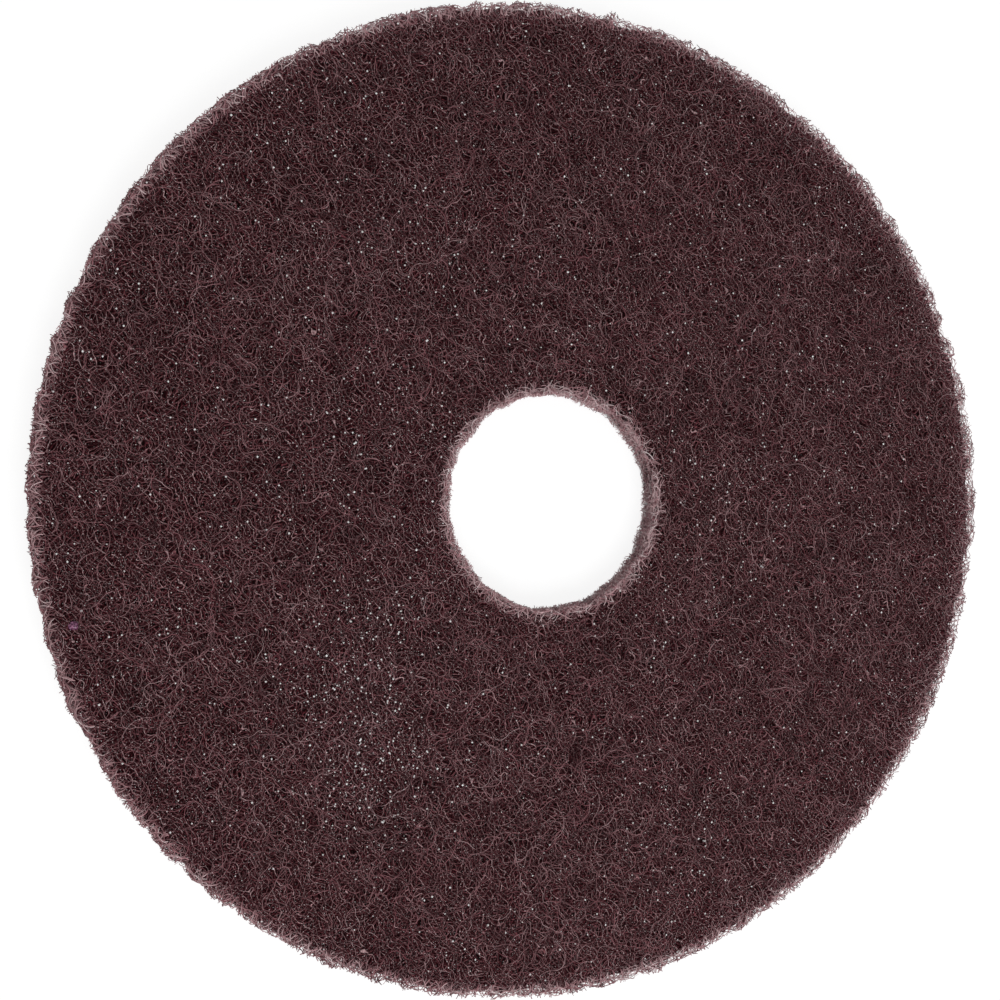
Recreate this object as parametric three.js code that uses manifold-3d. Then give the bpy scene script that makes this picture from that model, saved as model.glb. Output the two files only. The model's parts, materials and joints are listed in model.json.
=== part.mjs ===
// Floor polishing pad for a rotary floor machine: one disc of bonded, crimped nylon fibre web,
// die-cut from a flat sheet, with a round centre hole for the hub of the pad holder.
// Millimetres, +Z up. The pad lies flat, its underside on z = 0, with the disc's axis on Z.

import * as THREE from "three";
import { ImprovedNoise } from "three/addons/math/ImprovedNoise.js";
import { mergeVertices } from "three/addons/utils/BufferGeometryUtils.js";
import Module from "manifold-3d";

// Driving dimensions of the pad
const padDiameter = 406;
const holeDiameter = 89;
const padThickness = 13;

// The cut edges: the die pinches the web's corners in and leaves its tufts uneven
const cornerPinch = 1.6;
const frayDepth = 1.3;
const frayLength = 6.4;

// The open web: tufts of fibre stand up to the face and lie flat in it, with pits between them,
// and there are fewer tufts where the web runs thin. faceCover is how far the web's loft may fall
// before it leaves the face
const tuftPitch = 8.6;
const tuftDrift = 3.4;
const pitWidth = 5.3;
const pitDepth = 3.2;
const thinPatchWidth = 26;
const faceCover = 0.02;

const maroonWeb = new THREE.MeshStandardMaterial({
  name: "maroon_web",
  color: 0x5a3a3e,
  roughness: 0.95,
  metalness: 0,
});

const wasm = await Module();
wasm.setup();

// Unevenness from about -1 to 1, the same at every run. Each feature reads a layer of its own
const unevenness = new ImprovedNoise();
const layers = { topFace: 3.5, underside: 11.5, driftAlongX: 21.5, driftAlongY: 31.5 };

function waver(x, y, width, layer) {
  return unevenness.noise(x / width, y / width, layer);
}

// How far the web lies below its face at a point: nothing on the flat tops of the tufts
function sink(x, y, layer) {
  const patch = waver(x, y, thinPatchWidth, layer);
  const tuft = waver(x, y, pitWidth, layer);
  const shortfall = -faceCover - (patch + 3 * tuft) / 4;
  return pitDepth * THREE.MathUtils.smoothstep(shortfall, 0, 0.5);
}

// The uncut sheet: a slab whose two faces are gridded at the pitch of the tufts, with two
// pitches of waste all round the outline
function webSheet() {
  const side = padDiameter + 4 * tuftPitch;
  const cells = Math.ceil(side / tuftPitch);
  const sheet = new THREE.BoxGeometry(side, side, padThickness, cells, cells, 1);
  const at = sheet.attributes.position;
  for (let n = 0; n < at.count; n++) {
    const [x, y, isTop] = [at.getX(n), at.getY(n), at.getZ(n) > 0];
    const layer = isTop ? layers.topFace : layers.underside;
    const depth = sink(x, y, layer);
    const driftX = tuftDrift * waver(x, y, tuftPitch, layer + layers.driftAlongX);
    const driftY = tuftDrift * waver(x, y, tuftPitch, layer + layers.driftAlongY);
    at.setXYZ(n, x + driftX, y + driftY, isTop ? padThickness - depth : depth);
  }
  return sheet;
}

// A round cutter about Z. Its wall has the radius given, and near each face of the sheet it leans
// at 45 degrees by the corner pinch: inwards for the outline's die, outwards for the hole's punch
function cutter(radius, lean) {
  const reach = 2 * cornerPinch;
  const section = [
    [0, -cornerPinch],
    [radius + lean * reach, -cornerPinch],
    [radius, cornerPinch],
    [radius, padThickness / 2],
    [radius, padThickness - cornerPinch],
    [radius + lean * reach, padThickness + cornerPinch],
    [0, padThickness + cornerPinch],
  ].map(([r, z]) => new THREE.Vector2(r, z));
  const tufts = Math.round((2 * Math.PI * radius) / frayLength);
  const wall = new THREE.LatheGeometry(section, tufts);
  wall.rotateX(Math.PI / 2);

  const at = wall.attributes.position;
  const spoke = new THREE.Vector2();
  for (let n = 0; n < at.count; n++) {
    spoke.set(at.getX(n), at.getY(n));
    const fray = frayDepth * waver(spoke.x, spoke.y, frayLength, at.getZ(n) / frayLength);
    spoke.setLength(spoke.length() + fray);
    at.setXY(n, spoke.x, spoke.y);
  }
  return wall;
}

function solidOf(geometry) {
  const bare = geometry.clone();
  bare.deleteAttribute("normal");
  bare.deleteAttribute("uv");
  const merged = mergeVertices(bare, 1e-3);
  return new wasm.Manifold(
    new wasm.Mesh({
      numProp: 3,
      vertProperties: merged.attributes.position.array,
      triVerts: new Uint32Array(merged.index.array),
    }),
  );
}

function geometryOf(solid) {
  const mesh = solid.getMesh();
  const geometry = new THREE.BufferGeometry();
  geometry.setAttribute("position", new THREE.BufferAttribute(mesh.vertProperties, mesh.numProp));
  geometry.setIndex(new THREE.BufferAttribute(mesh.triVerts, 1));
  geometry.computeVertexNormals();
  return geometry;
}

// The pad is cut out of the sheet in one stroke: the die takes the outline and the punch the hole
function floorPad() {
  const outlineDie = solidOf(cutter(padDiameter / 2, -1));
  const holePunch = solidOf(cutter(holeDiameter / 2, 1));
  const cut = solidOf(webSheet()).intersect(outlineDie).subtract(holePunch);
  const pad = new THREE.Mesh(geometryOf(cut), maroonWeb);
  pad.name = "pad";
  return pad;
}

const floorPolishingPad = new THREE.Group();
floorPolishingPad.add(floorPad());

export default floorPolishingPad;
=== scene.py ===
import json
import math

import bmesh
import bpy
import numpy as np
from mathutils import Matrix, Vector, noise

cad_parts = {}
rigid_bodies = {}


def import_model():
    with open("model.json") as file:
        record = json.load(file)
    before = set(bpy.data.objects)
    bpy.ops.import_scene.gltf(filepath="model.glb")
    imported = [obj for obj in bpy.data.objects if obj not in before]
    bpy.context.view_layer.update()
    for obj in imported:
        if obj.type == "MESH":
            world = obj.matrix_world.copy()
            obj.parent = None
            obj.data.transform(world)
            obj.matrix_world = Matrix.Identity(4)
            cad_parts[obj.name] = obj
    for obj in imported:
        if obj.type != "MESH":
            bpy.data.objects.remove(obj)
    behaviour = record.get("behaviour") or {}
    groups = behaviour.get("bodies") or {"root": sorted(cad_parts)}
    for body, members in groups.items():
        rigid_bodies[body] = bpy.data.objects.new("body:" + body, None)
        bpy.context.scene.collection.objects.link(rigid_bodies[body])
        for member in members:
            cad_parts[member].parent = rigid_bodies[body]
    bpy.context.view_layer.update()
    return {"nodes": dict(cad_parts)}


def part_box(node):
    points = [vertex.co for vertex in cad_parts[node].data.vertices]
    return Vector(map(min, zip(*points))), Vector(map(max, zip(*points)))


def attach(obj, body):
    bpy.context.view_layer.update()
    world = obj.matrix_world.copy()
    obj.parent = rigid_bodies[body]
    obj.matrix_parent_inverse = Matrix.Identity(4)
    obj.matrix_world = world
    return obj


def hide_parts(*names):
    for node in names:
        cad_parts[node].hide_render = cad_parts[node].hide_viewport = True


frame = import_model()

# A round floor pad of crimped, resin-bonded fibre web, lying flat, seen from above.
# Metres, +Z up, the pad's axis on Z and its underside on z = 0.


# Sizes, all read from the CAD pad

padLow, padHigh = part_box("pad")
padThickness = padHigh.z - padLow.z
padMiddle = padThickness / 2
padCorners = np.array([v.co[:] for v in frame["nodes"]["pad"].data.vertices])
padReach = np.hypot(padCorners[:, 0], padCorners[:, 1])
atMidWall = np.abs(padCorners[:, 2] - padMiddle) < padThickness / 4
outerWall = padReach[atMidWall & (padReach > padReach.max() / 2)]
holeWall = padReach[atMidWall & (padReach < padReach.max() / 2)]
rimRadius = float(outerWall.mean())
holeRadius = float(holeWall.mean())
print(f"pad: radius {rimRadius:.4f}, hole {holeRadius:.4f}, thickness {padThickness:.4f}")


# Camera, set to the photo's close view from above the pad's left half

camera = {
    "distance": 2.518,  # in pad radii, from the middle of the upper face
    "lean": math.radians(16.65),  # how far it stands over to the left
    "turn": math.radians(1.6),  # of that lean, round the pad's axis
    "slideX": 0.1107,  # in pad radii, so that the pad fills the picture
    "slideY": -0.003,
    "lens": 44.86,  # mm on a 36 mm sensor
}


def makeCamera(c):
    swing = (
        Matrix.Rotation(-c["turn"], 3, "Z")
        @ Matrix.Rotation(c["lean"], 3, "Y")
        @ Matrix.Rotation(c["turn"], 3, "Z")
    )
    back = swing.transposed()
    place = back @ Vector((-c["slideX"], -c["slideY"], c["distance"])) * rimRadius
    lens = bpy.data.cameras.new("camera")
    lens.lens = c["lens"]
    lens.sensor_width = 36
    lens.clip_start = 0.01
    lens.clip_end = 20
    body = bpy.data.objects.new("camera", lens)
    body.matrix_world = Matrix.Translation(place + Vector((0, 0, padThickness))) @ back.to_4x4()
    bpy.context.collection.objects.link(body)
    bpy.context.scene.camera = body


makeCamera(camera)
print("camera set")


# Small helpers for meshes and node trees


def linkPiece(name, mesh, material):
    piece = bpy.data.objects.new(name, mesh)
    mesh.materials.append(material)
    bpy.context.collection.objects.link(piece)
    return piece


def smoothMesh(mesh):
    mesh.polygons.foreach_set("use_smooth", np.ones(len(mesh.polygons), bool))


def addNode(tree, kind, **settings):
    node = tree.nodes.new(kind)
    for key, value in settings.items():
        setattr(node, key, value)
    return node


def mathNode(tree, operation, first, second=None, clamp=False):
    node = addNode(tree, "ShaderNodeMath", operation=operation, use_clamp=clamp)
    for socket, value in zip(node.inputs, (first, second)):
        if isinstance(value, (int, float)):
            socket.default_value = value
        elif value is not None:
            tree.links.new(value, socket)
    return node.outputs[0]


def mixColours(tree, share, first, second):
    node = addNode(tree, "ShaderNodeMix", data_type="RGBA")
    for socket, value in ((node.inputs[0], share), (node.inputs[6], first), (node.inputs[7], second)):
        if isinstance(value, (tuple, float)):
            socket.default_value = value
        else:
            tree.links.new(value, socket)
    return node.outputs[2]


def rampNode(tree, value, stops):
    node = addNode(tree, "ShaderNodeValToRGB")
    ramp = node.color_ramp
    while len(ramp.elements) < len(stops):
        ramp.elements.new(0.5)
    for element, (place, colour) in zip(ramp.elements, stops):
        element.position = place
        element.color = (*colour, 1)
    tree.links.new(value, node.inputs[0])
    return node.outputs[0]


def newMaterial(name, roughness, specular):
    material = bpy.data.materials.new(name)
    material.use_nodes = True
    shader = material.node_tree.nodes["Principled BSDF"]
    shader.inputs["Roughness"].default_value = roughness
    shader.inputs["Specular IOR Level"].default_value = specular
    return material, material.node_tree, shader


# The web's pits and thin patches, shared by its body and its fibres

webRelief = {
    "pitWidth": 0.0042,
    "patchWidth": 0.017,
    "open": 0.26,  # how open the web is all over
    "byPit": 0.9,  # and how much more or less by its pits and its patches
    "byPatch": 0.3,
    "edgeWidth": 0.0075,  # between one fray of the cut edge and the next
    "edgeFray": 0.0008,
    "edgeLayer": 7.3,  # where the noise is read for it
    "glowReach": 0.0052,  # how far in from the cut walls light comes through
    "glowFrom": math.radians(20),  # the side that most of it comes from
    "glowLean": 0.27,  # how much further it comes on that side
    "glowHole": 0.56,  # and how far it comes from the hole's wall, as a share
}


def openness(x, y, z):
    # From 0 where the web is full to about 1 in the middle of a pit. The patches are read 3 m
    # away, so that they don't follow the pits
    relief = webRelief
    pit = noise.noise(Vector((x, y, z)) / relief["pitWidth"])
    patch = noise.noise(Vector((x + 3, y, z)) / relief["patchWidth"])
    return min(1.0, max(0.0, relief["open"] + relief["byPit"] * pit + relief["byPatch"] * patch))


def opennessAt(points):
    return np.array([openness(*p) for p in points])


def noiseAt(points, width):
    return np.array([noise.noise(Vector(p) / width) for p in points])


def nearWall(points):
    # How much light comes through the web from a cut wall: 1 in the wall, and none deep in
    relief = webRelief
    x, y = points[..., 0], points[..., 1]
    reach = np.hypot(x, y)
    toRim, toHole = rimRadius - reach, reach - holeRadius
    atRim = toRim < toHole
    facing = np.cos(np.arctan2(y, x) - relief["glowFrom"]) * np.where(atRim, 1, -1)
    far = relief["glowReach"] * (1 + relief["glowLean"] * facing)
    far = far * np.where(atRim, 1, relief["glowHole"])
    return np.exp(-(np.minimum(toRim, toHole).clip(0) / far) ** 2)


def frayAt(x, y):
    # How far the cut edge stands out or in at a place
    w = webRelief["edgeWidth"]
    return webRelief["edgeFray"] * 2 * noise.noise(Vector((x / w, y / w, webRelief["edgeLayer"])))


# The body of the web: the tangled depth that shows between the upper fibres, painted near-black with its
# shade

webBody = {
    "voxel": 0.0029,
    "faceDrop": 0.0010,  # below the pad's faces
    "rimDrop": 0.0006,  # inside the rim's cut wall, halfway up
    "holeDrop": 0.0020,  # and inside the hole's
    "shoulder": 0.0032,  # how far in its faces start to round off
    "corner": 0.5,  # 1 for a round edge, less for a fuller one
    "pitDepth": 0.0022,
    "lump": 0.0014,
    "lumpWidth": 0.0031,
    "sectors": 240,  # round the pad, before it is remeshed
}


def bodySection(w, turns=8):
    high = padThickness - w["faceDrop"]
    low = w["faceDrop"]
    rise = (high - low) / 2
    angles = np.linspace(-np.pi / 2, np.pi / 2, turns + 1)
    outward = np.cos(angles).clip(0) ** w["corner"]
    upward = padMiddle + rise * np.sign(angles) * np.abs(np.sin(angles)) ** w["corner"]
    toRim = (w["shoulder"] - w["rimDrop"]) * outward
    toHole = (w["shoulder"] - w["holeDrop"]) * outward
    outer = np.stack([rimRadius - w["shoulder"] + toRim, upward], 1)
    inner = np.stack([holeRadius + w["shoulder"] - toHole, upward], 1)[::-1]
    return np.concatenate([outer, inner])


def revolved(section, sectors):
    angles = np.linspace(0, 2 * np.pi, sectors, endpoint=False)
    points = [(r * math.cos(a), r * math.sin(a), z) for a in angles for r, z in section]
    n = len(section)
    faces = []
    for s in range(sectors):
        here, there = s * n, (s + 1) % sectors * n
        for k in range(n):
            k2 = (k + 1) % n
            faces.append((here + k, there + k, there + k2, here + k2))
    return points, faces


def makeWebBody(w, material):
    rough = bpy.data.meshes.new("webBodyRough")
    points, faces = revolved(bodySection(w), w["sectors"])
    rough.from_pydata(points, [], faces)
    holder = linkPiece("webBodyRough", rough, material)
    remesh = holder.modifiers.new("remesh", "REMESH")
    remesh.mode = "VOXEL"
    remesh.voxel_size = w["voxel"]
    graph = bpy.context.evaluated_depsgraph_get()
    mesh = bpy.data.meshes.new_from_object(holder.evaluated_get(graph))
    bpy.data.objects.remove(holder)
    mesh.name = "web_body"

    count = len(mesh.vertices)
    points = np.empty(count * 3)
    mesh.vertices.foreach_get("co", points)
    points = points.reshape(-1, 3)
    normals = np.empty(count * 3)
    mesh.vertex_normals.foreach_get("vector", normals)
    normals = normals.reshape(-1, 3)
    lumps = w["lump"] * noiseAt(points, w["lumpWidth"])
    points += normals * (lumps - w["pitDepth"] * opennessAt(points))[:, None]
    mesh.vertices.foreach_set("co", points.ravel())
    mesh.update()
    smoothMesh(mesh)
    layOut(mesh, points, normals)
    for name, values in (("openness", opennessAt(points)), ("nearWall", nearWall(points))):
        attribute = mesh.attributes.new(name, "FLOAT", "POINT")
        attribute.data.foreach_set("value", values)
    mesh.materials.clear()
    return linkPiece("web_body", mesh, material)


def layOut(mesh, points, normals):
    # Flat places for the drawn fibres, in metres: straight down on the faces, and round the
    # axis on the cut walls, where the normals rise or fall less than steepest
    steepest = 0.6
    loops = np.empty(len(mesh.loops), int)
    mesh.loops.foreach_get("vertex_index", loops)
    sizes = np.array([len(f.vertices) for f in mesh.polygons])
    first = np.repeat(np.cumsum(sizes) - sizes, sizes)
    x, y, z = points[loops].T
    angle = np.arctan2(y, x)
    angle = angle[first] + (angle - angle[first] + np.pi) % (2 * np.pi) - np.pi
    onWall = np.abs(normals[loops][first, 2]) < steepest
    reach = np.where(np.hypot(x, y) > (rimRadius + holeRadius) / 2, rimRadius, holeRadius)
    flat = np.stack([x, y], 1)
    wall = np.stack([angle * reach + 1, z], 1)
    layer = mesh.uv_layers.new(name="tangleMap")
    layer.uv.foreach_set("vector", np.where(onWall[:, None], wall, flat).ravel())


tangle = {
    # One layer of drawn fibres each, the deepest first: which way they run in degrees, how long
    # they are and how far apart, in metres, and their colour, darker with depth as painted shade
    "layers": (
        (85, 0.0026, 0.0010, (0.052, 0.008, 0.011)),
        (145, 0.0028, 0.0011, (0.078, 0.013, 0.018)),
        (22, 0.0030, 0.0012, (0.112, 0.023, 0.031)),
        (108, 0.0033, 0.0013, (0.168, 0.046, 0.056)),
        (168, 0.0036, 0.0015, (0.250, 0.092, 0.104)),
        (48, 0.0041, 0.0018, (0.370, 0.182, 0.195)),
        (125, 0.0047, 0.0022, (0.530, 0.335, 0.347)),
    ),
    "rowStep": 12.9,  # from one row to the next, the fibres slide along by chance
    "rowSlide": 7.3,
    "lean": 1.2,  # how far a fibre may lean across its row
    "bow": 1.5,  # and how far it may bow
    "ends": 7.0,  # how sharply its ends fade: 2 would fade it all along
    "plain": 0.5,  # less for more fibres that are plain to see
    "lineWidth": 0.00010,  # half the width of a drawn fibre
    "lineEdge": 0.4,  # less for a harder edge
    "shadeWidth": 0.00038,  # of the painted shadow beside it
    # near-black: painted shade of the web's depth
    "paintedGapShade": (0.0060, 0.0006, 0.0010, 1),
    "warp": 0.0034,  # how far the rows are bent
    "warpWidth": 0.0080,
    "speckApart": 0.0010,
    "speckWidth": 0.00021,
    "speckRare": 4.0,  # more for fewer plain specks
    # near-white: painted glints on the resin
    "speck": (0.90, 0.80, 0.81, 1),
    "pit": 0.5,  # how much darker the pits are, as painted shade
    "beadApart": 0.0008,  # the beads of resin that make a fibre lighter and darker along it
    "beads": 1.9,
    "beadDarkest": 0.2,
    "wallLift": 0.50,  # how much lighter and greyer all is in a cut wall, where light comes through
}


def bandMask(tree, distance, width):
    # 1 on the line, falling to 0 at its edge
    return mathNode(tree, "SUBTRACT", 1.0, mathNode(tree, "DIVIDE", distance, width), clamp=True)


def splitVector(tree, vector):
    parts = addNode(tree, "ShaderNodeSeparateXYZ")
    tree.links.new(vector, parts.inputs[0])
    return parts.outputs


def chanceAt(tree, x, y):
    # Three values by chance, the same all over one cell
    joined = addNode(tree, "ShaderNodeCombineXYZ")
    tree.links.new(x, joined.inputs[0])
    tree.links.new(y, joined.inputs[1])
    chance = addNode(tree, "ShaderNodeTexWhiteNoise", noise_dimensions="2D")
    tree.links.new(joined.outputs[0], chance.inputs["Vector"])
    return splitVector(tree, chance.outputs["Color"])


def fibreRow(tree, place, number, layer, t):
    # Rows of separate fibres, each leaning and bowing as chance has it: how far a point is from
    # its fibre, in metres, and how plain that fibre is
    turn, long, apart, _ = layer
    turned = addNode(tree, "ShaderNodeMapping", vector_type="TEXTURE")
    turned.inputs["Location"].default_value = (number * 0.37, number * 0.23, 0)
    turned.inputs["Rotation"].default_value = (0, 0, math.radians(turn))
    turned.inputs["Scale"].default_value = (long, apart, 1)
    tree.links.new(place, turned.inputs["Vector"])
    u, v, _ = splitVector(tree, turned.outputs[0])
    row = mathNode(tree, "FLOOR", v)
    across = mathNode(tree, "SUBTRACT", mathNode(tree, "FRACT", v), 0.5)
    slide = mathNode(tree, "SINE", mathNode(tree, "MULTIPLY", row, t["rowStep"]))
    along = mathNode(tree, "ADD", u, mathNode(tree, "MULTIPLY", slide, t["rowSlide"]))
    share = mathNode(tree, "SUBTRACT", mathNode(tree, "FRACT", along), 0.5)
    lean, bow, plain = chanceAt(tree, mathNode(tree, "FLOOR", along), row)
    lean = mathNode(tree, "MULTIPLY", mathNode(tree, "SUBTRACT", lean, 0.5), t["lean"])
    bow = mathNode(tree, "MULTIPLY", mathNode(tree, "SUBTRACT", bow, 0.5), t["bow"])
    slant = mathNode(tree, "ADD", lean, mathNode(tree, "MULTIPLY", bow, share))
    middle = mathNode(tree, "MULTIPLY", slant, share)
    off = mathNode(tree, "ABSOLUTE", mathNode(tree, "SUBTRACT", across, middle))
    ends = mathNode(tree, "SUBTRACT", 0.5, mathNode(tree, "ABSOLUTE", share))
    ends = mathNode(tree, "MULTIPLY", ends, t["ends"], clamp=True)
    return mathNode(tree, "MULTIPLY", off, apart), mathNode(tree, "MULTIPLY", ends, plain)


def speckMask(tree, place, t):
    # Specks of resin on the fibres, painted near-white as glints, one by chance in each square cell, in its
    # middle 0.6
    u, v, _ = splitVector(tree, place)
    u, v = (mathNode(tree, "DIVIDE", w, t["speckApart"]) for w in (u, v))
    x, y, size = chanceAt(tree, mathNode(tree, "FLOOR", u), mathNode(tree, "FLOOR", v))
    squares = []
    for w, middle in ((u, x), (v, y)):
        middle = mathNode(tree, "ADD", mathNode(tree, "MULTIPLY", middle, 0.6), 0.2)
        aside = mathNode(tree, "SUBTRACT", mathNode(tree, "FRACT", w), middle)
        squares.append(mathNode(tree, "POWER", aside, 2.0))
    off = mathNode(tree, "SQRT", mathNode(tree, "ADD", *squares))
    off = mathNode(tree, "MULTIPLY", off, t["speckApart"])
    size = mathNode(tree, "POWER", size, t["speckRare"])
    return mathNode(tree, "MULTIPLY", bandMask(tree, off, t["speckWidth"]), size)


def bendRows(tree, place, t):
    # The flat places, bent by a slow noise so that no row runs straight
    wobble = addNode(tree, "ShaderNodeTexNoise", noise_dimensions="2D")
    wobble.inputs["Scale"].default_value = 1 / t["warpWidth"]
    wobble.inputs["Detail"].default_value = 1.0
    tree.links.new(place, wobble.inputs["Vector"])
    bent = addNode(tree, "ShaderNodeVectorMath", operation="MULTIPLY_ADD")
    bent.inputs[1].default_value = (t["warp"] * 2,) * 3
    tree.links.new(wobble.outputs["Color"], bent.inputs[0])
    tree.links.new(place, bent.inputs[2])
    return bent.outputs[0]


def beadedColour(tree, place, colour, t):
    bead = addNode(tree, "ShaderNodeTexNoise", noise_dimensions="2D")
    bead.inputs["Scale"].default_value = 1 / t["beadApart"]
    bead.inputs["Detail"].default_value = 0.0
    tree.links.new(place, bead.inputs["Vector"])
    uneven = mathNode(tree, "MULTIPLY", mathNode(tree, "SUBTRACT", bead.outputs[0], 0.5), t["beads"])
    uneven = mathNode(tree, "MAXIMUM", mathNode(tree, "ADD", uneven, 1.0), t["beadDarkest"])
    beaded = addNode(tree, "ShaderNodeVectorMath", operation="SCALE")
    tree.links.new(colour, beaded.inputs[0])
    tree.links.new(uneven, beaded.inputs["Scale"])
    return beaded.outputs[0]


def litFromWalls(tree, colour, t):
    glow = addNode(tree, "ShaderNodeAttribute", attribute_name="nearWall").outputs["Fac"]
    power = mathNode(tree, "SUBTRACT", 1.0, mathNode(tree, "MULTIPLY", glow, t["wallLift"]))
    lift = addNode(tree, "ShaderNodeGamma")
    tree.links.new(colour, lift.inputs[0])
    tree.links.new(power, lift.inputs[1])
    return lift.outputs[0]


def tangleMaterial(t):
    # Thin fibres over near-black gaps of painted shade, each layer casting a painted shadow on the one
    # below it
    material, tree, shader = newMaterial("tangled_web", 0.9, 0.05)
    place = addNode(tree, "ShaderNodeUVMap", uv_map="tangleMap").outputs[0]
    bent = bendRows(tree, place, t)
    colour = t["paintedGapShade"]
    for number, layer in enumerate(t["layers"]):
        off, plain = fibreRow(tree, bent, number, layer, t)
        plain = mathNode(tree, "POWER", plain, t["plain"])
        # painted shadow beside each drawn fibre
        paintedShadow = mathNode(tree, "MULTIPLY", bandMask(tree, off, t["shadeWidth"]), plain)
        colour = mixColours(tree, paintedShadow, colour, t["paintedGapShade"])
        line = mathNode(tree, "POWER", bandMask(tree, off, t["lineWidth"]), t["lineEdge"])
        line = mathNode(tree, "MULTIPLY", line, plain)
        colour = mixColours(tree, line, colour, (*layer[-1], 1))
    colour = mixColours(tree, speckMask(tree, place, t), colour, t["speck"])
    # painted shade: the more open the web, the nearer to the gap's dark
    pit = addNode(tree, "ShaderNodeAttribute", attribute_name="openness").outputs["Fac"]
    pit = mathNode(tree, "MULTIPLY", pit, t["pit"], clamp=True)
    colour = mixColours(tree, pit, colour, t["paintedGapShade"])
    colour = litFromWalls(tree, beadedColour(tree, place, colour, t), t)
    tree.links.new(colour, shader.inputs["Base Color"])
    return material


body = makeWebBody(webBody, tangleMaterial(tangle))
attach(body, "root")
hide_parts("pad")
print(f"web body: {len(body.data.polygons)} faces")


# The fibres: crimped strands that wander through the web

crimp = {
    "tightest": 0.0026,  # radius of the tightest curl
    "widest": 0.0110,
    "run": 0.0046,  # how far a curl goes before it changes
    "turnsBack": 0.65,  # share of those changes that curl the other way
    "steady": 0.7,  # how much of its climb a strand keeps from one bit to the next
    "levels": 60,  # how strongly it comes back to its own level
    "radiusSpread": 0.18,
    "thinnest": 0.6,  # as a share of the usual radius
    "thickest": 1.6,
    "proud": 0.0002,  # how far it may stand above the upper face
}


def curlOf(rng, count):
    tight, wide = math.log(crimp["tightest"]), math.log(crimp["widest"])
    return 1 / np.exp(rng.uniform(tight, wide, count))


def wander(rng, starts, settings):
    # Each strand's points, with its middle point at its start
    count = len(starts)
    step, bits, steep = settings["step"], settings["bits"], settings["climb"]
    heading = np.arctan2(starts[:, 1], starts[:, 0]) + rng.normal(0, settings["turned"], count)
    side = rng.choice([-1.0, 1.0], count)
    curl = curlOf(rng, count)
    climb = rng.normal(0, steep, count)
    place = np.zeros((count, 3))
    places = np.empty((count, bits + 1, 3))
    for n in range(bits + 1):
        places[:, n] = place
        turns = rng.random(count) < step / crimp["run"]
        side = np.where(turns & (rng.random(count) < crimp["turnsBack"]), -side, side)
        curl = np.where(turns, curlOf(rng, count), curl)
        heading = heading + side * curl * step
        drawnBack = crimp["levels"] * place[:, 2] * steep
        climb = crimp["steady"] * climb + rng.normal(0, steep, count) - drawnBack
        flat = np.cos(climb)
        move = np.stack([np.cos(heading) * flat, np.sin(heading) * flat, np.sin(climb)], 1)
        place = place + step * move
    middle = places[:, bits // 2]
    return places - middle[:, None] + starts[:, None]


def keptRun(inside):
    # True along the unbroken run of points that holds the middle one
    middle = inside.shape[1] // 2
    after = np.logical_and.accumulate(inside[:, middle:], axis=1)
    before = np.logical_and.accumulate(inside[:, middle::-1], axis=1)[:, ::-1]
    return np.concatenate([before[:, :-1], after], axis=1)


def tubeMesh(name, places, kept, radii, shade, tone):
    # Every strand as a closed tube with three sides. Its map holds its shade across and its
    # tone up, so that the material can read both
    sides = 3
    along = np.gradient(places, axis=1)
    along /= np.linalg.norm(along, axis=2, keepdims=True)
    across = np.cross(along, (0.0, 0.0, 1.0))
    across /= np.maximum(np.linalg.norm(across, axis=2, keepdims=True), 1e-9)
    over = np.cross(across, along)
    corners = []
    for k in range(sides):
        angle = 2 * np.pi * k / sides + np.pi / 6
        corners.append(places + radii[:, None, None] * (math.cos(angle) * across + math.sin(angle) * over))
    rings = np.stack(corners, 2)[kept]
    number = np.cumsum(kept.ravel()).reshape(kept.shape) - 1
    joined = kept[:, :-1] & kept[:, 1:]
    here, there = number[:, :-1][joined] * sides, number[:, 1:][joined] * sides
    quads = []
    for k in range(sides):
        k2 = (k + 1) % sides
        quads.append(np.stack([here + k, here + k2, there + k2, there + k], 1))
    quads = np.concatenate(quads)
    starts = number[kept & ~np.pad(kept, ((0, 0), (1, 0)))[:, :-1]] * sides
    ends = number[kept & ~np.pad(kept, ((0, 0), (0, 1)))[:, 1:]] * sides
    caps = np.concatenate([
        np.stack([starts + 2, starts + 1, starts], 1),
        np.stack([ends, ends + 1, ends + 2], 1),
    ])
    loops = np.concatenate([quads.ravel(), caps.ravel()])
    sizes = np.concatenate([np.full(len(quads), 4), np.full(len(caps), 3)])

    mesh = bpy.data.meshes.new(name)
    mesh.vertices.add(len(rings) * sides)
    mesh.vertices.foreach_set("co", rings.ravel())
    mesh.loops.add(len(loops))
    mesh.loops.foreach_set("vertex_index", loops)
    mesh.polygons.add(len(sizes))
    mesh.polygons.foreach_set("loop_start", np.concatenate([[0], np.cumsum(sizes)[:-1]]))
    mesh.update(calc_edges=True)
    smoothMesh(mesh)

    shades = np.repeat(np.broadcast_to(shade[:, None], kept.shape)[kept], sides)
    shades = shades + np.tile([0.0, 0.002, 0.004], len(rings))  # so that no face is flat in the map
    tones = np.repeat(tone[kept], sides)
    layer = mesh.uv_layers.new(name="OFBake")
    layer.uv.foreach_set("vector", np.stack([shades[loops], tones[loops]], 1).ravel())
    mesh.validate()
    return mesh


def cutToRing(places, low, high):
    # Keeps each strand's run between two radii, and cuts it off clean where it leaves them, with
    # at least a tenth of its last bit left
    reach = np.hypot(places[..., 0], places[..., 1])
    kept = keptRun((reach > low) & (reach < high))
    limit = np.where(reach >= high, high, low)
    whole = kept.copy()
    for toward in (1, -1):
        beyond = np.roll(kept, toward, axis=1) & ~kept
        beyond[:, 0 if toward == 1 else -1] = False
        last = np.roll(places, toward, axis=1)[beyond]
        lastReach = np.roll(reach, toward, axis=1)[beyond]
        share = ((limit[beyond] - lastReach) / (reach[beyond] - lastReach)).clip(0.1, 1)
        places[beyond] = last + share[:, None] * (places[beyond] - last)
        whole |= beyond
    return whole


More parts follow.
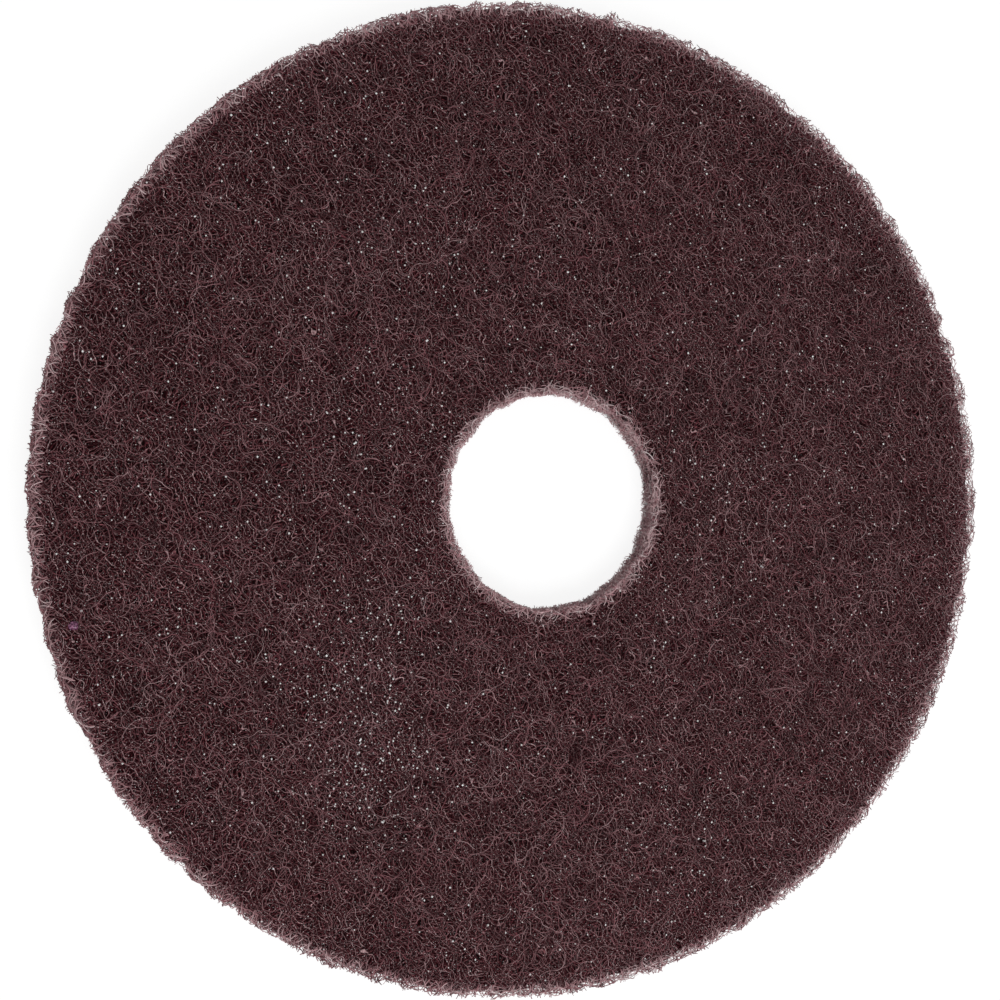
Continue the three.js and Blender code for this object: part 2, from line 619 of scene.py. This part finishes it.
strandDyeAndShade = {
    # Across: from wine-red strands to grey ones, each (place, colour)
    "strands": (
        (0.0, (0.190, 0.038, 0.053)),
        (0.35, (0.260, 0.100, 0.116)),
        (0.7, (0.350, 0.200, 0.212)),
        (1.0, (0.450, 0.310, 0.322)),
    ),
    "sharedOut": (1.6, 2.0),  # the two shapes of the beta spread that picks a strand's place there
    # Up: from deep in the web to its faces, as a multiple: painted shade deep in, painted light in the cut
    # walls
    "depths": (
        (0.0, (0.12, 0.06, 0.07)),
        (0.28, (0.60, 0.50, 0.52)),
        (0.5, (1.1, 1.05, 1.05)),
        (1.0, (2.1, 2.7, 2.6)),
    ),
}

# What a strand's tone gains and loses from place to place: painted shade deep in the web, painted light in
# the cut walls, and chance
strandTone = {
    "depth": 0.45,  # lost deep in the web, as painted shade
    "patch": 0.10,  # more or less, by patches of the web
    "patchWidth": 0.004,
    "wall": 0.48,  # gained in a cut wall, where light comes through
    "chance": 0.10,  # more or less, from point to point
}


def strandMaterial(dyeAndShade):
    material, tree, shader = newMaterial("crimped_fibre", 0.6, 0.25)
    place = addNode(tree, "ShaderNodeUVMap", uv_map="OFBake").outputs[0]
    shade, tone, _ = splitVector(tree, place)
    own = rampNode(tree, shade, dyeAndShade["strands"])
    # painted shade and light, by the strand's tone
    paintedShadeAndLight = rampNode(tree, tone, dyeAndShade["depths"])
    lit = addNode(tree, "ShaderNodeMix", data_type="RGBA", blend_type="MULTIPLY")
    lit.inputs[0].default_value = 1
    tree.links.new(own, lit.inputs[6])
    tree.links.new(paintedShadeAndLight, lit.inputs[7])
    tree.links.new(lit.outputs[2], shader.inputs["Base Color"])
    return material


def webFibres(name, rng, starts, ring, settings, material):
    places = wander(rng, starts, settings)
    flat = places.reshape(-1, 3)
    shape = places.shape[:2]
    fray = np.array([frayAt(p[0], p[1]) for p in flat]).reshape(shape)
    stray = settings["stray"] * rng.random(len(starts))[:, None] ** 2
    low = np.maximum(holeRadius + fray - stray, ring[0])
    high = np.minimum(rimRadius + fray + stray, ring[1])
    kept = cutToRing(places, low, high)

    sink = opennessAt(flat).reshape(shape) * settings["sink"]
    places[..., 2] += np.where(places[..., 2] > padMiddle, -sink, sink)
    spread = crimp["radiusSpread"] * rng.normal(0, 1, len(starts))
    radii = settings["radius"] * (1 + spread).clip(crimp["thinnest"], crimp["thickest"])
    lowest = radii[:, None]
    places[..., 2] = places[..., 2].clip(lowest, padThickness + crimp["proud"] - lowest)

    reach = np.hypot(places[..., 0], places[..., 1])
    toWall = np.minimum(rimRadius - reach, reach - holeRadius)
    depth = np.minimum(np.minimum(padThickness - places[..., 2], places[..., 2]), toWall)
    t = strandTone
    patches = noiseAt(flat, t["patchWidth"]).reshape(shape)
    # painted shade deep in the web, painted light near the cut walls, and painted shade on the outermost
    # ends
    tone = settings["tone"] - t["depth"] * (depth / settings["darkDepth"]).clip(0, 1) + t["patch"] * patches
    within = (toWall / settings["dimWithin"]).clip(settings["dimmest"], 1)
    tone += t["wall"] * nearWall(places) * within + t["chance"] * rng.normal(0, 1, shape)
    tone += settings["unlike"] * rng.normal(0, 1, (len(starts), 1))
    greyness = rng.beta(*strandDyeAndShade["sharedOut"], len(starts))
    leastGrey = settings["leastGrey"]
    shade = (leastGrey + (1 - leastGrey) * greyness) * 0.99  # short of the map's edge
    mesh = tubeMesh(name, places, kept, radii, shade, tone.clip(0.02, 0.98))
    piece = linkPiece(name, mesh, material)
    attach(piece, "root")
    print(f"{name}: {len(starts)} strands, {sum(len(p.vertices) - 2 for p in mesh.polygons)} triangles")
    return piece


def ringStarts(rng, count, inner, outer, low, high):
    reach = np.sqrt(rng.uniform(inner**2, outer**2, count))
    angle = rng.uniform(0, 2 * np.pi, count)
    return np.stack([reach * np.cos(angle), reach * np.sin(angle), rng.uniform(low, high, count)], 1)


faceFibres = {
    "seed": 100,
    "upperStrands": 2150,  # in each upper piece
    "upperPieces": 2,
    "lowerStrands": 1100,
    "layer": 0.0019,  # how deep the strands of a face lie
    "radius": 0.000080,
    "step": 0.0022,  # length of one straight bit of a strand
    "bits": 14,
    "climb": 0.16,  # how steeply a strand rises and dips, in radians
    "turned": 9.0,  # how far it is turned away from the pad's axis at first, in radians
    "sink": 0.0012,
    "darkDepth": 0.0022,  # how deep the strands are at the darkest of their painted shade
    "tone": 0.50,  # how light they are at the face: 0.5 is their own colour
    "unlike": 0.03,  # and how far one strand's tone is from another's
    "leastGrey": 0.15,  # how far the reddest strand is towards grey, and the others more
    "stray": 0.0005,  # how far a cut end or loop may stand out of a cut wall
    "dimWithin": 0.0016,  # the outermost ends stand against the light, so they are dimmer this near
    "dimmest": 0.25,
}

wallFibres = {
    "seed": 300,
    "rimStrands": 4850,  # in each half
    "ring": 0.0052,  # how far in from a cut wall the strands reach
    "halfWay": 0.0018,  # how far in they start, halfway up the wall
    "atFaces": 0.0034,  # and at the faces
    "crowd": 0.6,  # 1 for as many halfway as at the faces, less for more at the faces
    "nearer": 1.6,  # more for more strands right at the wall
    "radius": 0.00018,
    "step": 0.0019,
    "bits": 6,
    "climb": 0.36,
    "turned": 0.8,
    "sink": 0.0,
    "darkDepth": 0.0050,
    "tone": 0.40,
    "unlike": 0.16,
    "leastGrey": 0.35,
    "stray": 0.0005,
    "dimWithin": 0.0022,
    "dimmest": 0.05,
}

# The hole's wall is seen from above, and its strands are finer and more unlike, and paler with painted
# light
holeFibres = {
    **wallFibres,
    "seed": 400,
    "strands": 4300,
    "crowd": 0.9,
    "radius": 0.00014,
    "tone": 0.60,
    "unlike": 0.30,
    "dimmest": 0.9,
}

# Cut ends: short stubs that stand out of the cut walls all round, darker with painted shade as they stand
# against the light
cutEnds = {
    **wallFibres,
    "seed": 450,
    "rimEnds": 2300,
    "holeEnds": 560,
    "halfWay": 0.0008,
    "atFaces": 0.0012,
    "radius": 0.00015,
    "step": 0.0011,
    "bits": 3,
    "climb": 0.45,
    "turned": 0.6,
    "tone": 0.34,
    "leastGrey": 0.2,
    "stray": 0.0013,
}


def wallStarts(rng, count, wall, inward, sector, w):
    # Places in a cut wall, between two angles; inward is -1 at the rim and 1 at the hole
    toFace = rng.random(count) ** w["crowd"]
    high = padMiddle * (1 + toFace * rng.choice([-1, 1], count))
    deepest = w["halfWay"] + (w["atFaces"] - w["halfWay"]) * toFace**2
    reach = wall + inward * deepest * rng.random(count) ** w["nearer"]
    angle = rng.uniform(*sector, count)
    return np.stack([reach * np.cos(angle), reach * np.sin(angle), high], 1)


def makeFaceFibres(f, material):
    ring = (0, 1)
    top = padThickness - f["layer"]
    for n in range(f["upperPieces"]):
        rng = np.random.default_rng(f["seed"] + n)
        starts = ringStarts(rng, f["upperStrands"], holeRadius, rimRadius, top, padThickness)
        webFibres(f"upper_fibres_{n + 1}", rng, starts, ring, f, material)
    rng = np.random.default_rng(2 * f["seed"])
    starts = ringStarts(rng, f["lowerStrands"], holeRadius, rimRadius, 0, f["layer"])
    webFibres("lower_fibres", rng, starts, ring, f, material)


def makeRimFibres(w, material):
    ring = (rimRadius - w["ring"], 1)
    for n, half in enumerate([(0, np.pi), (np.pi, 2 * np.pi)]):
        rng = np.random.default_rng(w["seed"] + n)
        starts = wallStarts(rng, w["rimStrands"], rimRadius, -1, half, w)
        webFibres(f"rim_fibres_{n + 1}", rng, starts, ring, w, material)


def makeHoleFibres(w, material):
    rng = np.random.default_rng(w["seed"])
    starts = wallStarts(rng, w["strands"], holeRadius, 1, (0, 2 * np.pi), w)
    webFibres("hole_fibres", rng, starts, (0, holeRadius + w["ring"]), w, material)


def makeCutEnds(c, material):
    rng = np.random.default_rng(c["seed"])
    starts = np.concatenate([
        wallStarts(rng, c["rimEnds"], rimRadius, -1, (0, 2 * np.pi), c),
        wallStarts(rng, c["holeEnds"], holeRadius, 1, (0, 2 * np.pi), c),
    ])
    webFibres("cut_ends", rng, starts, (0, 1), c, material)


strand = strandMaterial(strandDyeAndShade)
makeFaceFibres(faceFibres, strand)
makeRimFibres(wallFibres, strand)
makeHoleFibres(holeFibres, strand)
makeCutEnds(cutEnds, strand)


# Grains of hardened resin: glassy specks caught in the web, painted near-white as glints, and crowded where
# the web is thin as painted light showing through

grains = {
    "single": 3300,
    "patches": (  # where the web is thin: x, y, how wide and how many grains
        (-0.075, -0.106, 0.016, 420), (-0.085, -0.074, 0.014, 230), (-0.075, -0.048, 0.013, 130),
        (0.052, -0.042, 0.013, 90), (0.056, -0.144, 0.014, 110), (0.082, 0.005, 0.014, 80),
        (-0.055, 0.106, 0.016, 110), (-0.077, 0.036, 0.020, 110), (0.015, 0.180, 0.009, 45),
        (-0.096, 0.148, 0.012, 60),
    ),
    "seed": 500,
    "margin": 0.002,  # kept clear along the cut walls
    "radius": 0.00017,
    "unlike": 0.85,  # how far their sizes differ
    "smallest": 0.5,  # as a share of the radius
    "largest": 2.6,
    "flat": 0.6,
    "uneven": 0.3,
    "deepest": 0.0002,
    "mottle": 900,
    # near-white: painted glints
    "colours": ((0.3, (0.60, 0.54, 0.55)), (0.5, (0.88, 0.86, 0.86)), (0.7, (0.97, 0.96, 0.96))),
}


def mottledMaterial(name, roughness, scale, stops):
    material, tree, shader = newMaterial(name, roughness, 0.5)
    place = addNode(tree, "ShaderNodeTexCoord").outputs["Object"]
    mottle = addNode(tree, "ShaderNodeTexNoise")
    mottle.inputs["Scale"].default_value = scale
    tree.links.new(place, mottle.inputs["Vector"])
    tree.links.new(rampNode(tree, mottle.outputs[0], stops), shader.inputs["Base Color"])
    return material


def makeGrains(g):
    rng = np.random.default_rng(g["seed"])
    singles = ringStarts(rng, g["single"], holeRadius, rimRadius, 0, 1)
    spots = [singles[:, :2]]
    for x, y, wide, many in g["patches"]:
        spots.append(rng.normal((x, y), wide, (many, 2)))
    spots = np.concatenate(spots)
    reach = np.hypot(*spots.T)
    spots = spots[(reach > holeRadius + g["margin"]) & (reach < rimRadius - g["margin"])]
    count = len(spots)
    deep = padThickness - g["deepest"] * rng.random(count)
    sizes = g["radius"] * rng.lognormal(0, g["unlike"], count).clip(g["smallest"], g["largest"])
    h = g["flat"]
    corner = np.array([(1, 0, 0), (-1, 0, 0), (0, 1, 0), (0, -1, 0), (0, 0, h), (0, 0, -h)])
    side = np.array([
        (0, 2, 4), (2, 1, 4), (1, 3, 4), (3, 0, 4), (2, 0, 5), (1, 2, 5), (3, 1, 5), (0, 3, 5),
    ])
    middles = np.column_stack([spots, deep])
    jolt = 1 + rng.uniform(-g["uneven"], g["uneven"], (count, 6, 1))
    points = middles[:, None] + corner * jolt * sizes[:, None, None]
    faces = side[None] + np.arange(count)[:, None, None] * 6
    mesh = bpy.data.meshes.new("resin_grains")
    mesh.from_pydata(points.reshape(-1, 3).tolist(), [], faces.reshape(-1, 3).tolist())
    material = mottledMaterial("resin_grain", 0.25, g["mottle"], g["colours"])
    piece = linkPiece("resin_grains", mesh, material)
    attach(piece, "root")
    print(f"resin grains: {count}")


makeGrains(grains)


# One purple drop of spilt resin, set hard among the fibres near the left of the rim

resinDrop = {
    "place": (-0.1869, -0.0455),
    "size": (0.0019, 0.0015, 0.0008),  # half its length, width and height
    "lump": 0.35,
    "lumpWidth": 0.625,  # in half its length
    "proud": 0.0002,  # how far it may stand above the face
    "mottle": 1400,
    "colours": ((0.40, (0.050, 0.005, 0.030)), (0.70, (0.400, 0.160, 0.290))),
}


def makeDrop(d):
    middle = Vector((*d["place"], padThickness - d["size"][2]))
    ball = bmesh.new()
    bmesh.ops.create_icosphere(ball, subdivisions=3, radius=1)
    for vertex in ball.verts:
        swell = 1 + d["lump"] * noise.noise(vertex.co / d["lumpWidth"])
        vertex.co = vertex.co * Vector(d["size"]) * swell + middle
        vertex.co.z = min(vertex.co.z, padThickness + d["proud"])
    mesh = bpy.data.meshes.new("resin_drop")
    ball.to_mesh(mesh)
    ball.free()
    smoothMesh(mesh)
    material = mottledMaterial("resin_drop", 0.2, d["mottle"], d["colours"])
    piece = linkPiece("resin_drop", mesh, material)
    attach(piece, "root")


makeDrop(resinDrop)
print("resin drop set")


# Floor and light

studio = {
    "floorSide": 3.0,  # half of it
    "floorDrop": 0.0002,  # below the pad
    "floorBounce": 0.8,  # how much light it gives back
    "floorShade": 0.25,  # how far shadows show on it
    "floorGlow": 0.84,  # the rest of its white, to the camera alone
    "glowEdge": 0.0003,  # in under the pad, where that glow starts to fade
    "glowFade": 0.0022,
    "sky": 0.6,
    "skySeen": 0.65,  # more to the camera alone, for a white backdrop
    "lampSize": 0.9,
    "lampPower": 10,
    "lampPlace": (0.2, -0.9, 1.1),
}


def glowBesidePad(tree, f):
    # The floor's own glow, which stops under the pad, where no light comes
    x, y, _ = splitVector(tree, addNode(tree, "ShaderNodeTexCoord").outputs["Object"])
    squares = [mathNode(tree, "MULTIPLY", w, w) for w in (x, y)]
    reach = mathNode(tree, "SQRT", mathNode(tree, "ADD", *squares))
    toRim = mathNode(tree, "SUBTRACT", rimRadius, reach)
    toHole = mathNode(tree, "SUBTRACT", reach, holeRadius)
    under = mathNode(tree, "SUBTRACT", mathNode(tree, "MINIMUM", toRim, toHole), f["glowEdge"])
    under = mathNode(tree, "DIVIDE", under, f["glowFade"], clamp=True)
    return mathNode(tree, "MULTIPLY", mathNode(tree, "SUBTRACT", 1.0, under), f["floorGlow"])


def makeFloor(f):
    mesh = bpy.data.meshes.new("floor")
    side = f["floorSide"]
    mesh.from_pydata(
        [(-side, -side, 0), (side, -side, 0), (side, side, 0), (-side, side, 0)], [], [(0, 1, 2, 3)]
    )
    material = bpy.data.materials.new("pale_floor")
    material.use_nodes = True
    tree = material.node_tree
    tree.nodes.clear()
    path = addNode(tree, "ShaderNodeLightPath")
    seen = mathNode(tree, "MAXIMUM", path.outputs["Is Camera Ray"], path.outputs["Is Glossy Ray"])
    seen = mathNode(tree, "MAXIMUM", seen, path.outputs["Is Transmission Ray"])
    plain = addNode(tree, "ShaderNodeBsdfDiffuse")
    plain.inputs[0].default_value = (*(f["floorBounce"],) * 3, 1)
    soft = addNode(tree, "ShaderNodeBsdfDiffuse")
    soft.inputs[0].default_value = (*(f["floorShade"],) * 3, 1)
    glow = addNode(tree, "ShaderNodeEmission")
    tree.links.new(glowBesidePad(tree, f), glow.inputs[1])
    both = addNode(tree, "ShaderNodeAddShader")
    tree.links.new(soft.outputs[0], both.inputs[0])
    tree.links.new(glow.outputs[0], both.inputs[1])
    choose = addNode(tree, "ShaderNodeMixShader")
    tree.links.new(seen, choose.inputs[0])
    tree.links.new(plain.outputs[0], choose.inputs[1])
    tree.links.new(both.outputs[0], choose.inputs[2])
    out = addNode(tree, "ShaderNodeOutputMaterial")
    tree.links.new(choose.outputs[0], out.inputs[0])
    floor = linkPiece("floor", mesh, material)
    floor.location.z = -f["floorDrop"]


def makeLight(f):
    world = bpy.data.worlds.new("studio")
    bpy.context.scene.world = world
    world.use_nodes = True
    tree = world.node_tree
    tree.nodes.clear()
    path = addNode(tree, "ShaderNodeLightPath")
    seen = mathNode(tree, "MAXIMUM", path.outputs["Is Camera Ray"], path.outputs["Is Transmission Ray"])
    strength = mathNode(tree, "ADD", mathNode(tree, "MULTIPLY", seen, f["skySeen"]), f["sky"])
    sky = addNode(tree, "ShaderNodeBackground")
    tree.links.new(strength, sky.inputs[1])
    out = addNode(tree, "ShaderNodeOutputWorld")
    tree.links.new(sky.outputs[0], out.inputs[0])
    key = bpy.data.lights.new("key", "AREA")
    key.size = f["lampSize"]
    key.energy = f["lampPower"]
    lamp = bpy.data.objects.new("key", key)
    lamp.location = f["lampPlace"]
    lamp.rotation_euler = (-lamp.location).to_track_quat("-Z", "Y").to_euler()
    bpy.context.collection.objects.link(lamp)


makeFloor(studio)
makeLight(studio)
bpy.context.scene.view_settings.view_transform = "Standard"
print("floor and light set")
